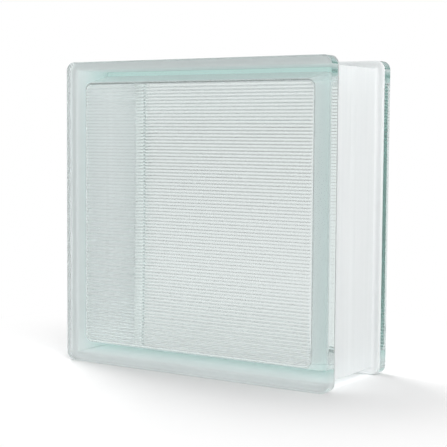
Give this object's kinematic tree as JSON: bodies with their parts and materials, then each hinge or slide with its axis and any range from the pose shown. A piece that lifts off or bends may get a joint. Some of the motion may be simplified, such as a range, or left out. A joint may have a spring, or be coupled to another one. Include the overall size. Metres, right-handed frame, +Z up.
{
  "type": "glass block",
  "caption": "Square hollow glass block with ribbed inner faces, rounded rims and a recessed mortar channel round its edges.",
  "frame": {"origin": "middle of the underside, on the plane that the block stands on", "axes": "+Z up, X across the face, front face towards -Y"},
  "size_m": [0.197, 0.079, 0.197],
  "materials": {
    "clear_glass": "clear pressed glass with a pale green-blue tint, smooth outside and ribbed inside",
    "edge_coating": "matt white keying coat brushed on the mortar channel"
  },
  "bodies": {
    "root": {"glass_block": "clear_glass"}
  },
  "joints": []
}
